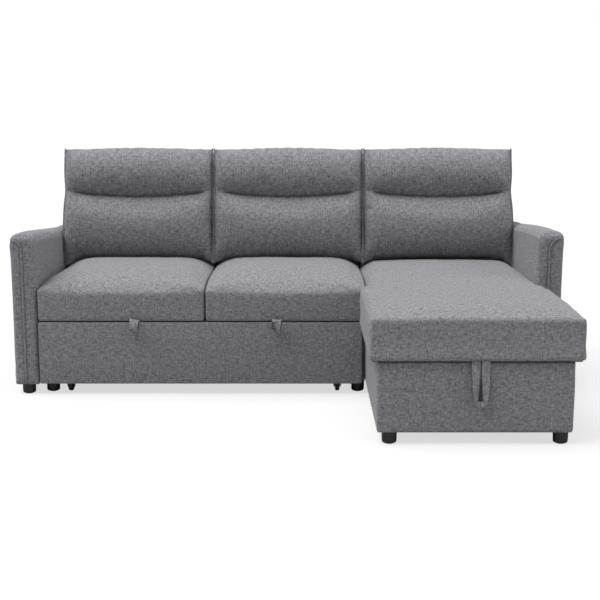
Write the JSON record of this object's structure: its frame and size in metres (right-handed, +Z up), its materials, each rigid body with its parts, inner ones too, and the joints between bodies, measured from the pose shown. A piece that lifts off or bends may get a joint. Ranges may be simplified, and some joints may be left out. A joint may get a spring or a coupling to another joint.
{
  "type": "sectional sleeper sofa",
  "caption": "Grey woven sectional sofa: two seats over a pull-out bed on casters, beside a chaise whose hinged seat lid opens a storage box.",
  "frame": {"origin": "on the floor, below the middle of the sofa's bounding box", "axes": "+X to the chaise side, right as seen from the front; +Y towards the back; +Z up"},
  "size_m": [2.094, 1.518, 0.912],
  "materials": {
    "upholstery_fabric": "heathered grey linen-look weave, matte",
    "bed_ticking": "smooth woven ticking",
    "foam": "open-cell polyurethane foam",
    "webbing": "woven elastic webbing",
    "frame_wood": "raw pine and plywood",
    "zinc_steel": "zinc plated",
    "black_steel": "black satin powder coat",
    "black_plastic": "moulded, satin black",
    "nylon": "natural nylon",
    "caster_rubber": "soft black tread"
  },
  "bodies": {
    "sofa": {"left_arm_core": "frame_wood", "left_arm_cover": "upholstery_fabric", "right_arm_core": "frame_wood", "right_arm_cover": "upholstery_fabric", "frame_bolts": "zinc_steel", "outer_feet": "black_plastic", "chaise_feet": "black_plastic", "seat_side_left": "frame_wood", "seat_side_right": "frame_wood", "seat_cross_rails": "frame_wood", "seat_rear_board": "frame_wood", "seat_webbing": "webbing", "bed_glides": "nylon", "left_seat_foam": "foam", "left_seat_cover": "upholstery_fabric", "middle_seat_foam": "foam", "middle_seat_cover": "upholstery_fabric", "sofa_back_frame": "frame_wood", "sofa_back_cover": "upholstery_fabric", "left_back_cushion": "upholstery_fabric", "middle_back_cushion": "upholstery_fabric", "chaise_back_frame": "frame_wood", "chaise_back_cover": "upholstery_fabric", "right_back_cushion": "upholstery_fabric", "section_hooks": "black_steel", "chaise_rear_pad": "upholstery_fabric", "chaise_wall_left": "frame_wood", "chaise_wall_right": "frame_wood", "chaise_wall_front": "frame_wood", "chaise_cross_boards": "frame_wood", "chaise_floor": "frame_wood", "chaise_skirt": "upholstery_fabric", "hinge_brackets": "zinc_steel", "hinge_pins": "zinc_steel", "gas_spring_feet": "zinc_steel"},
    "pull_out_bed": {"bed_front_board": "frame_wood", "bed_front_cover": "upholstery_fabric", "bed_lower_rails": "frame_wood", "bed_rear_rail": "frame_wood", "bed_upper_rails": "frame_wood", "bed_slats": "frame_wood", "bed_pad": "bed_ticking", "bed_pull_tabs": "upholstery_fabric", "lift_arms": "zinc_steel", "caster_forks": "black_steel", "caster_axles": "zinc_steel"},
    "chaise_lid": {"hinge_straps": "zinc_steel", "lid_board": "frame_wood", "lid_foam": "foam", "lid_cushion": "upholstery_fabric", "lid_pull_loop": "upholstery_fabric", "gas_spring_heads": "zinc_steel"},
    "front_left_wheel": {"front_left_wheel": "caster_rubber"},
    "front_right_wheel": {"front_right_wheel": "caster_rubber"},
    "rear_left_wheel": {"rear_left_wheel": "caster_rubber"},
    "rear_right_wheel": {"rear_right_wheel": "caster_rubber"},
    "left_gas_cylinder": {"left_gas_cylinder": "black_steel"},
    "left_gas_rod": {"left_gas_rod": "zinc_steel"},
    "right_gas_cylinder": {"right_gas_cylinder": "black_steel"},
    "right_gas_rod": {"right_gas_rod": "zinc_steel"}
  },
  "joints": [
    {"name": "bed_slide", "type": "slide", "parent": "sofa", "child": "pull_out_bed", "axis": [0, -1, 0], "range_m": [0, 0.56]},
    {"name": "front_left_wheel_roll", "type": "hinge", "parent": "pull_out_bed", "child": "front_left_wheel", "pos_m": [-0.844, -0.029, 0.025], "axis": [1, 0, 0], "continuous": true},
    {"name": "front_right_wheel_roll", "type": "hinge", "parent": "pull_out_bed", "child": "front_right_wheel", "pos_m": [0.196, -0.029, 0.025], "axis": [1, 0, 0], "continuous": true},
    {"name": "rear_left_wheel_roll", "type": "hinge", "parent": "pull_out_bed", "child": "rear_left_wheel", "pos_m": [-0.844, 0.463, 0.025], "axis": [1, 0, 0], "continuous": true},
    {"name": "rear_right_wheel_roll", "type": "hinge", "parent": "pull_out_bed", "child": "rear_right_wheel", "pos_m": [0.196, 0.463, 0.025], "axis": [1, 0, 0], "continuous": true},
    {"name": "lid_hinge", "type": "hinge", "parent": "sofa", "child": "chaise_lid", "pos_m": [0.626, 0.469, 0.425], "axis": [-1, 0, 0], "range_deg": [0, 45]},
    {"name": "left_gas_pivot", "type": "hinge", "parent": "sofa", "child": "left_gas_cylinder", "pos_m": [0.346, 0.409, 0.11], "axis": [-1, 0, 0], "range_deg": [0, 28]},
    {"name": "left_gas_stroke", "type": "slide", "parent": "left_gas_cylinder", "child": "left_gas_rod", "axis": [0, -0.8682, 0.4961], "range_m": [0, 0.217]},
    {"name": "right_gas_pivot", "type": "hinge", "parent": "sofa", "child": "right_gas_cylinder", "pos_m": [0.906, 0.409, 0.11], "axis": [-1, 0, 0], "range_deg": [0, 28]},
    {"name": "right_gas_stroke", "type": "slide", "parent": "right_gas_cylinder", "child": "right_gas_rod", "axis": [0, -0.8682, 0.4961], "range_m": [0, 0.217]}
  ],
  "couplings": [
    {"joint": "front_left_wheel_roll", "follows": "bed_slide", "rad_per_m": 40},
    {"joint": "front_right_wheel_roll", "follows": "bed_slide", "rad_per_m": 40},
    {"joint": "rear_left_wheel_roll", "follows": "bed_slide", "rad_per_m": 40},
    {"joint": "rear_right_wheel_roll", "follows": "bed_slide", "rad_per_m": 40},
    {"joint": "left_gas_pivot", "follows": "lid_hinge", "ratio": 0.6106},
    {"joint": "left_gas_stroke", "follows": "lid_hinge", "m_per_rad": 0.27403},
    {"joint": "right_gas_pivot", "follows": "lid_hinge", "ratio": 0.6106},
    {"joint": "right_gas_stroke", "follows": "lid_hinge", "m_per_rad": 0.27403}
  ]
}
